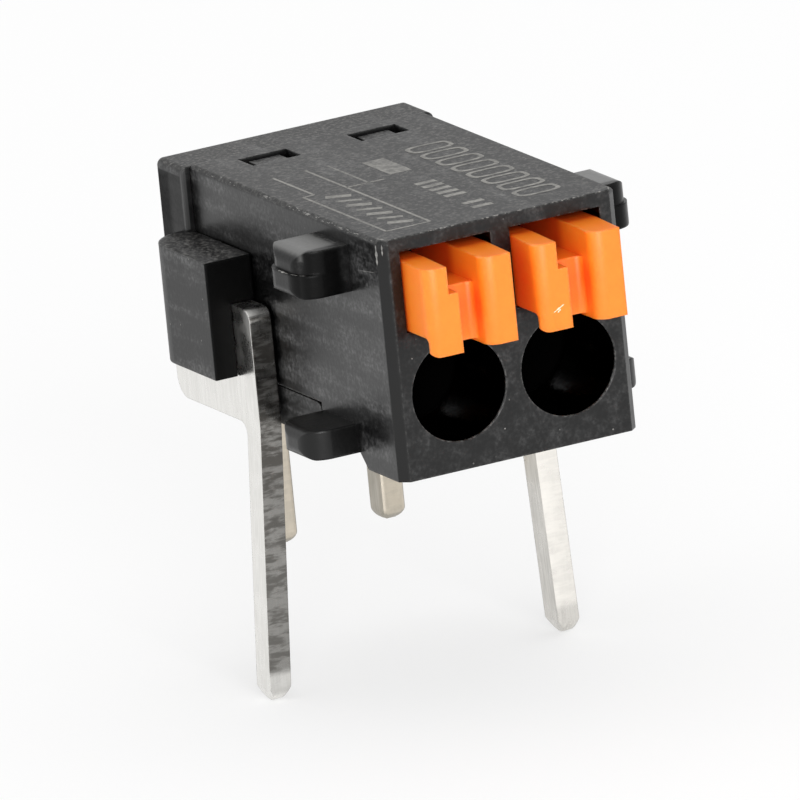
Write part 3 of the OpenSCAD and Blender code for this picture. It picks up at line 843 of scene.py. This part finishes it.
@dataclass
class TopPrint:
    """Worn print on the plug's top: a stepped frame, slanted bars, a field, two short rows and a row of loops.

    Sizes are in millimetres. Lines, bars and fields are strokes with a start, an end and a width.
    """

    groups: Groups
    line: float = 0.085
    film: float = 0.004
    film_share: float = 0.75
    frame_left: float = -3.1
    frame_step: float = -2.75
    frame_right: float = -1.7
    inner_line: float = -1.0
    inner_reach: float = 0.5
    rear: float = -3.9
    step: float = -6.45
    front: float = -11.55
    bar_count: int = 7
    bar_run: Band = (0.66, -0.34)
    bar_aside: float = 0.1
    bar_margins: Band = (0.5, 0.8)
    bar_width: float = 0.27
    bar_thinning: float = 0.35
    field: tuple[float, float, float, float] = (0.2, -4.4, 0.2, -6.15)
    field_width: float = 0.7
    row_x: Band = (-0.15, 0.5)
    row_runs: tuple[tuple[float, float, int], ...] = ((-7.7, -9.5, 5), (-10.6, -11.15, 2))
    row_width: float = 0.24
    loop_count: int = 8
    loop_steps: int = 33
    loop_x: Band = (1.35, 2.75)
    loop_margin: float = 0.2
    loop_half: float = 0.42
    loop_width: float = 0.13
    loop_power: float = 0.55

    def build(self) -> None:
        """Lays all strokes and loops as one film."""
        strokes = self.strokes(np.concatenate([self.frame_lines(), self.bars(), self.rows(), self.fields()]))
        loops = self.loops()
        points = np.concatenate([strokes.reshape(-1, 2), loops.reshape(-1, 2)]) * MM
        level = np.full((len(points), 1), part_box("plug_housing")[1][2] + self.film * MM)
        first = math.prod(strokes.shape[:3])
        faces = np.concatenate([grid_faces(*strokes.shape[:3]), grid_faces(*loops.shape[:3]) + first])
        ink = GREY_INK.build(self.groups)
        piece = add_piece("top_print", np.concatenate([points, level], axis=1), faces, ink, Body.PLUG)
        film = piece.modifiers.new("film", "SOLIDIFY")
        film.thickness = self.film * self.film_share * MM
        film.offset = -1.0

    def strokes(self, runs: np.ndarray) -> np.ndarray:
        """Turns runs into flat strips.

        A point is the start, plus s times the run, plus t times the width across the run, where s is 0 or 1 and t is
        a half to either side.

        Args:
            runs: Rows of start x, start y, end x, end y and width.

        Returns:
            The points, by run, along and across.
        """
        start, run, width = runs[:, 0:2], runs[:, 2:4] - runs[:, 0:2], runs[:, 4:5]
        across = np.stack([-run[:, 1], run[:, 0]], axis=1) / np.linalg.norm(run, axis=1, keepdims=True)
        s = np.array([0.0, 1.0])[None, :, None, None]
        t = np.array([-0.5, 0.5])[None, None, :, None]
        return start[:, None, None] + s * run[:, None, None] + t * (width * across)[:, None, None]

    def frame_lines(self) -> np.ndarray:
        """Draws the stepped frame and the two lines beside it.

        Returns:
            Rows of start x, start y, end x, end y and width, like those of the other strokes.
        """
        left, notch, right, inner = self.frame_left, self.frame_step, self.frame_right, self.inner_line
        runs = [
            (right, self.rear, right, self.front),
            (right, self.front, left, self.front),
            (left, self.front, left, self.step),
            (left, self.step, notch, self.step),
            (notch, self.step, notch, self.rear),
            (inner, self.rear, inner, self.step),
            (right, self.step, inner + self.inner_reach, self.step),
        ]
        return np.array([(*run, self.line) for run in runs])

    def bars(self) -> np.ndarray:
        """Draws a row of slanted bars inside the frame, of which every second one is thinner.

        Returns:
            Their rows.
        """
        y = np.linspace(self.step - self.bar_margins[0], self.front + self.bar_margins[1], self.bar_count)
        x = np.full_like(y, self.frame_step + self.bar_aside)
        width = self.bar_width * (1.0 - self.bar_thinning * (np.arange(self.bar_count) % 2))
        return np.stack([x, y, x + self.bar_run[0], y + self.bar_run[1], width], axis=1)

    def rows(self) -> np.ndarray:
        """Draws two short rows of upright bars.

        Returns:
            Their rows.
        """
        y = np.concatenate([np.linspace(*run) for run in self.row_runs])
        low, high = (np.full_like(y, v) for v in self.row_x)
        return np.stack([low, y, high, y, np.full_like(y, self.row_width)], axis=1)

    def fields(self) -> np.ndarray:
        """Draws the solid field as one wide stroke."""
        return np.array([(*self.field, self.field_width)])

    def loops(self) -> np.ndarray:
        """Draws a row of rounded loops, each a band around a superellipse.

        A point is the loop's middle, plus its half width times the cosine and its half length times the sine of the
        turn, each raised to a power below 1 with its sign kept. The inner edge has both halves less by the band. The
        last point around a loop is the first again.

        Returns:
            The points, by loop, around and across.
        """
        pitch = (self.rear - self.front - self.loop_margin) / self.loop_count
        middle_y = self.rear - pitch * (np.arange(self.loop_count) + 0.5)
        low, high = self.loop_x
        middle = np.stack([np.full_like(middle_y, (low + high) / 2), middle_y], axis=1)[:, None, None]
        turn = np.linspace(0.0, 2.0 * math.pi, self.loop_steps)
        unit = np.stack([np.cos(turn), np.sin(turn)], axis=1)
        unit = (np.sign(unit) * np.abs(unit) ** self.loop_power)[None, :, None]
        outer = np.array([(high - low) / 2, self.loop_half * pitch])
        halves = np.stack([outer - self.loop_width, outer])[None, None]
        return middle + unit * halves


@dataclass(frozen=True)
class Marks:
    """Slender raised marks, such as burrs and scratches: starts, ends, normals, widths and heights, in millimetres."""

    starts: np.ndarray
    ends: np.ndarray
    normals: np.ndarray
    widths: np.ndarray
    heights: np.ndarray
    rows: int = 13
    columns: int = 5
    run_band: Band = (0.02, 0.98)
    ripple: float = 0.25
    ripple_rate: float = 17.0
    ripple_shift: float = 2.3
    sunk: float = 0.3

    def surface(self) -> tuple[np.ndarray, np.ndarray]:
        """Works out the marks' surface.

        A mark is a low arch carried along its run. At the share s of the run it is the square root of sin(pi s) times
        its full width and height, with a ripple, and across it, at t from -1 to 1, it rises as 1 minus t squared. It
        is sunk by a share of its height.

        Returns:
            The points, in metres, and the faces.
        """
        run = self.ends - self.starts
        across = np.cross(self.normals, run)
        across /= np.linalg.norm(across, axis=1, keepdims=True)
        s = np.linspace(*self.run_band, self.rows)[None, :, None, None]
        t = np.linspace(-1.0, 1.0, self.columns)[None, None, :, None]
        order = np.arange(len(run))[:, None, None, None]
        ripple = 1.0 - self.ripple + self.ripple * np.sin(self.ripple_rate * s + self.ripple_shift * order)
        swell = np.sqrt(np.sin(math.pi * s)) * ripple
        start, along, aside, up = (array[:, None, None, :] for array in (self.starts, run, across, self.normals))
        width, height = (array[:, None, None, None] for array in (self.widths, self.heights))
        arch = up * (height * (swell * (1 - t**2) - self.sunk))
        points = start + along * s + aside * (width / 2 * swell * t) + arch
        return points.reshape(-1, 3) * MM, grid_faces(len(run), self.rows, self.columns)


def join_marks(*groups: Marks) -> Marks:
    """Puts several sets of marks together."""
    names = ("starts", "ends", "normals", "widths", "heights")
    return Marks(*(np.concatenate([getattr(group, name) for group in groups]) for name in names))


def marks_of(rows: list[MarkRow]) -> Marks:
    """Makes marks from rows of start, end, normal, width and height, in millimetres."""
    return Marks(*(np.array(part, dtype=float) for part in zip(*rows)))


@dataclass(frozen=True)
class Burrs:
    """How many burrs an edge has, and the ranges that they are drawn from, in millimetres."""

    count: int
    run: Band
    width: Band
    height: Band

    def marks(self, rng: np.random.Generator, starts: np.ndarray, ends: np.ndarray, normal: Point) -> Marks:
        """Draws the burrs' widths and heights.

        Args:
            rng: The source of random numbers.
            starts: Where the burrs start.
            ends: Where they end.
            normal: Which way all of them rise.

        Returns:
            The burrs.
        """
        normals = np.tile(np.array(normal), (self.count, 1))
        widths = rng.uniform(*self.width, self.count)
        return Marks(starts, ends, normals, widths, rng.uniform(*self.height, self.count))


@dataclass
class Plug:
    """The plug's housing and rear cover, with the print and the burrs that they carry. Sizes are in millimetres."""

    groups: Groups
    half: float = 3.8
    front: float = -12.45
    top: float = 6.8
    chamfer: float = 0.25
    top_chamfer: float = 0.1
    edge_margin: float = 0.3
    front_burrs: Burrs = Burrs(46, (0.03, 0.2), (0.025, 0.06), (0.006, 0.016))
    front_power: float = 1.3
    front_swing: Band = (-0.02, 0.05)
    side_burrs: Burrs = Burrs(36, (0.05, 0.25), (0.02, 0.05), (0.004, 0.012))
    side_depth: Band = (0.02, 0.08)
    side_end: float = -1.2
    seed: int = 7

    def build(self) -> None:
        """Dresses the nodes and adds the print and the burrs."""
        dress(("plug_housing", "plug_rear_cover"), BLACK_PLUG.build(self.groups))
        TopPrint(self.groups).build()
        points, faces = join_marks(self.front_edge(), self.side_edge(), self.chips(), self.flash()).surface()
        add_piece("plug_burrs", points, faces, PALE_BURR.build(self.groups), Body.PLUG)

    def front_edge(self) -> Marks:
        """Scatters burrs along the top's front edge.

        Returns:
            The burrs.
        """
        rng = np.random.default_rng(self.seed)
        burrs, count = self.front_burrs, self.front_burrs.count
        x = rng.uniform(self.chamfer - self.half, self.half - self.chamfer - self.edge_margin, count)
        run = rng.uniform(*burrs.run, count) ** self.front_power
        swing = rng.uniform(*self.front_swing, count)
        starts = np.stack([x, np.full(count, self.front), np.full(count, self.top)], axis=1)
        ends = starts + np.stack([run, swing, np.zeros(count)], axis=1)
        return burrs.marks(rng, starts, ends, (0.0, -SLANT, SLANT))

    def side_edge(self) -> Marks:
        """Scatters finer burrs along the top's left edge, on its chamfer.

        Returns:
            The burrs.
        """
        rng = np.random.default_rng(self.seed + 1)
        burrs, count = self.side_burrs, self.side_burrs.count
        y = rng.uniform(self.front + self.edge_margin, self.side_end, count)
        depth = rng.uniform(*self.side_depth, count)
        run = rng.uniform(*burrs.run, count)
        starts = np.stack([-self.half + depth, y, self.top - self.top_chamfer + depth], axis=1)
        ends = starts + np.stack([np.zeros(count), run, np.zeros(count)], axis=1)
        return burrs.marks(rng, starts, ends, (-SLANT, 0.0, SLANT))

    def chips(self) -> Marks:
        """Sets the chips on the two upper front corners.

        Returns:
            The chips.
        """
        left, right, front, top = -self.half, self.half, self.front, self.top
        cut, half, corner = self.chamfer, self.chamfer / 2, (-SLANT, -SLANT, 0.0)
        rows = [
            ((left, front + cut, top - 0.12), (left, front + cut, top - 0.75), corner, 0.09, 0.02),
            ((left + half, front + half, top - 0.08), (left + half, front + half, top - 0.5), corner, 0.07, 0.02),
            ((left + 0.1, front + 0.4, top), (left + cut, front, top), (-0.4, -0.4, 0.82), 0.08, 0.02),
            ((right - cut, front, top), (right - 0.1, front + 0.3, top), (0.4, -0.4, 0.82), 0.09, 0.02),
        ]
        return marks_of(rows)

    def flash(self) -> Marks:
        """Sets the parting line beside the left upper nub, and the specks on that nub.

        Returns:
            The line and the specks.
        """
        outward, upward = (-1.0, 0.0, 0.0), (0.0, 0.0, 1.0)
        rows = [
            ((-self.half, -10.9, 5.68), (-self.half, -12.15, 5.84), outward, 0.02, 0.006),
            ((-5.37, -9.0, 5.65), (-5.37, -9.65, 5.65), upward, 0.1, 0.03),
            ((-5.35, -9.68, 5.65), (-5.25, -10.04, 5.65), upward, 0.06, 0.015),
            ((-5.25, -10.04, 5.65), (-5.1, -10.22, 5.65), upward, 0.05, 0.012),
            ((-5.14, -9.5, 6.22), (-5.14, -9.6, 6.22), (-SLANT, 0.0, SLANT), 0.1, 0.02),
            ((-4.7, -9.8, 6.33), (-4.7, -9.95, 6.31), upward, 0.12, 0.025),
            ((-4.95, -9.95, 6.2), (-4.88, -10.03, 6.18), (-0.4, -0.6, 0.7), 0.08, 0.02),
        ]
        return marks_of(rows)


@dataclass
class Levers:
    """The two release levers, with the scuff on the right one. Sizes are in millimetres."""

    groups: Groups
    edge_width: float = 0.08
    scuff_from: Point = (0.74, -13.85, 4.04)
    scuff_to: Point = (1.13, -13.85, 4.24)
    scuff_width: float = 0.07
    scuff_heights: Band = (0.006, 0.005)
    scuff_aside: Point = (0.12, 0.0, -0.03)
    scuff_lean: float = 0.6
    scuff_short: float = 0.5

    def build(self) -> None:
        """Dresses the levers and adds the scuff."""
        levers = ("release_lever_left", "release_lever_right")
        dress(levers, ORANGE_PLASTIC.build(self.groups), self.edge_width * MM)
        points, faces = self.scuff().surface()
        add_piece("lever_scuff", points, faces, SCUFFED_ORANGE.build(self.groups), Body.LEVER_RIGHT)

    def scuff(self) -> Marks:
        """Draws two strokes beside each other on the left column's face, of which the second is shorter.

        Returns:
            The strokes.
        """
        start, end, aside = (np.array(place) for place in (self.scuff_from, self.scuff_to, self.scuff_aside))
        front = (0.0, -1.0, 0.0)
        second_end = end + self.scuff_lean * aside - self.scuff_short * (end - start)
        rows = [
            (start, end, front, self.scuff_width, self.scuff_heights[0]),
            (start + aside, second_end, front, self.scuff_width, self.scuff_heights[1]),
        ]
        return marks_of(rows)


@dataclass
class Header:
    """The header's body with its contact pins and solder legs. Sizes are in millimetres."""

    groups: Groups
    pin_edge: float = 0.14
    leg_edge: float = 0.08

    def build(self) -> None:
        """Dresses the nodes."""
        dress(("header_body",), BLACK_HEADER.build(self.groups))
        dress(("contact_pin_left", "contact_pin_right"), PIN_TIN.build(self.groups), self.pin_edge * MM)
        dress(("solder_leg_left",), LEFT_LEG_TIN_PAINTED_LIGHT.build(self.groups), self.leg_edge * MM)
        dress(("solder_leg_right",), RIGHT_LEG_TIN_PAINTED_LIGHT.build(self.groups), self.leg_edge * MM)


@dataclass
class Clamps:
    """The clamp springs and the current bars inside the plug."""

    groups: Groups

    def build(self) -> None:
        """Dresses the nodes."""
        dress(("clamp_spring_left", "clamp_spring_right"), SPRING_STEEL.build(self.groups))
        dress(("current_bar_left", "current_bar_right"), COPPER_BAR.build(self.groups))


def towards(azimuth: float, elevation: float) -> Vector:
    """Gives the direction from the part to its front, turned to the right and raised by some degrees."""
    turn, rise = math.radians(azimuth), math.radians(elevation)
    return Vector((math.sin(turn) * math.cos(rise), -math.cos(turn) * math.cos(rise), math.sin(rise)))


@dataclass
class Studio:
    """A pale floor in a white tent, with one soft lamp. Lengths are in metres and angles in degrees."""

    floor_side: float = 3.0
    floor_gap: float = 0.02 * MM
    floor_colour: Colour = (0.97, 0.97, 0.97)
    paper_white: float = 0.5
    tent_colour: Colour = (1.0, 1.0, 1.0)
    tent_strength: float = 0.88
    lamp_side: float = 0.35
    lamp_distance: float = 0.6
    lamp_share: float = 0.75
    lamp_azimuth: float = -18.0
    lamp_elevation: float = 14.0

    def build(self) -> None:
        """Builds the floor, the tent's light and the lamp."""
        self.make_floor()
        self.make_tent()
        self.make_lamp()

    def make_floor(self) -> None:
        """Lays a square floor just under the legs, of paper that is part white by itself where it is seen."""
        half = self.floor_side / 2
        level = CAD_BOX[0].z - self.floor_gap
        corners = np.array([[-half, -half, level], [half, -half, level], [half, half, level], [-half, half, level]])
        mesh = bpy.data.meshes.new("floor")
        mesh.from_pydata(corners, [], [(0, 1, 2, 3)])
        floor = bpy.data.objects.new("floor", mesh)
        bpy.context.scene.collection.objects.link(floor)
        material, nodes, shader = new_material("floor_paper")
        nodes.supply(shader, Base_Color=self.floor_colour, Roughness=1.0, Specular_IOR_Level=0.0)
        path = nodes.add("ShaderNodeLightPath").outputs
        seen = nodes.math("MAXIMUM", path["Is Camera Ray"], path["Is Glossy Ray"])
        seen = nodes.math("MULTIPLY", nodes.math("MAXIMUM", seen, path["Is Transmission Ray"]), self.paper_white)
        white = nodes.add("ShaderNodeEmission", Strength=1.0)
        mixed = nodes.add("ShaderNodeMixShader")
        for output, target in zip((seen, shader.outputs[0], white.outputs[0]), mixed.inputs):
            nodes.link(output, target)
        nodes.link(mixed.outputs[0], material.node_tree.nodes["Material Output"].inputs["Surface"])
        mesh.materials.append(material)

    def make_tent(self) -> None:
        """Lights the scene evenly from all around."""
        world = bpy.data.worlds.new("tent")
        world.use_nodes = True
        background = world.node_tree.nodes["Background"]
        Nodes(world.node_tree).supply(background, Color=self.tent_colour, Strength=self.tent_strength)
        bpy.context.scene.world = world

    def make_lamp(self) -> None:
        """Hangs a soft lamp that adds a share of the tent's light to a face that looks at it."""
        back = towards(self.lamp_azimuth, self.lamp_elevation)
        lamp = bpy.data.lights.new("soft_lamp", "AREA")
        lamp.size = self.lamp_side
        lamp.energy = self.lamp_share * math.pi**2 * self.lamp_distance**2
        holder = bpy.data.objects.new("soft_lamp", lamp)
        holder.location = back * self.lamp_distance
        holder.rotation_mode = "QUATERNION"
        holder.rotation_quaternion = (-back).to_track_quat("-Z", "Y")
        bpy.context.scene.collection.objects.link(holder)


@dataclass
class PhotoCamera:
    """The camera that took the photograph, as fitted to the part's edges.

    Angles are in degrees, lengths in metres and the sensor in millimetres. The azimuth is positive to the right.
    """

    azimuth: float = -26.138
    elevation: float = 15.338
    roll: float = -5.688
    distance: float = 870.074 * MM
    near_share: float = 0.1
    sensor: float = 36.0
    focal_px: float = 30610.758
    frame_px: float = 800.0
    centre_px: Band = (420.15, 381.769)
    target: Point = (0.0, -6.45 * MM, 0.7 * MM)

    def build(self) -> None:
        """Places the camera so that the target falls on its pixel of the frame."""
        turn, tilt = math.radians(self.azimuth), math.radians(self.roll)
        back = towards(self.azimuth, self.elevation)
        level = Vector((math.cos(turn), math.sin(turn), 0.0))
        upright = back.cross(level)
        right = level * math.cos(tilt) + upright * math.sin(tilt)
        up = upright * math.cos(tilt) - level * math.sin(tilt)
        per_px = self.distance / self.focal_px
        middle = self.frame_px / 2
        aim = Vector(self.target)
        aim += right * ((middle - self.centre_px[0]) * per_px) - up * ((middle - self.centre_px[1]) * per_px)
        lens = bpy.data.cameras.new("photo_camera")
        lens.sensor_width = self.sensor
        lens.lens = lens.sensor_width * self.focal_px / self.frame_px
        lens.clip_start = self.distance * self.near_share
        camera = bpy.data.objects.new("photo_camera", lens)
        turned = Matrix((right, up, back)).transposed().to_4x4()
        camera.matrix_world = Matrix.Translation(aim + back * self.distance) @ turned
        bpy.context.scene.collection.objects.link(camera)
        bpy.context.scene.camera = camera


def main() -> None:
    """Builds the scene."""
    logging.basicConfig(level=logging.INFO, format="%(message)s")
    bpy.context.scene.view_settings.view_transform = "Standard"
    groups = Groups()
    for assembly in (Plug(groups), Levers(groups), Header(groups), Clamps(groups)):
        assembly.build()
    Studio().build()
    PhotoCamera().build()


if __name__ == "__main__":
    main()
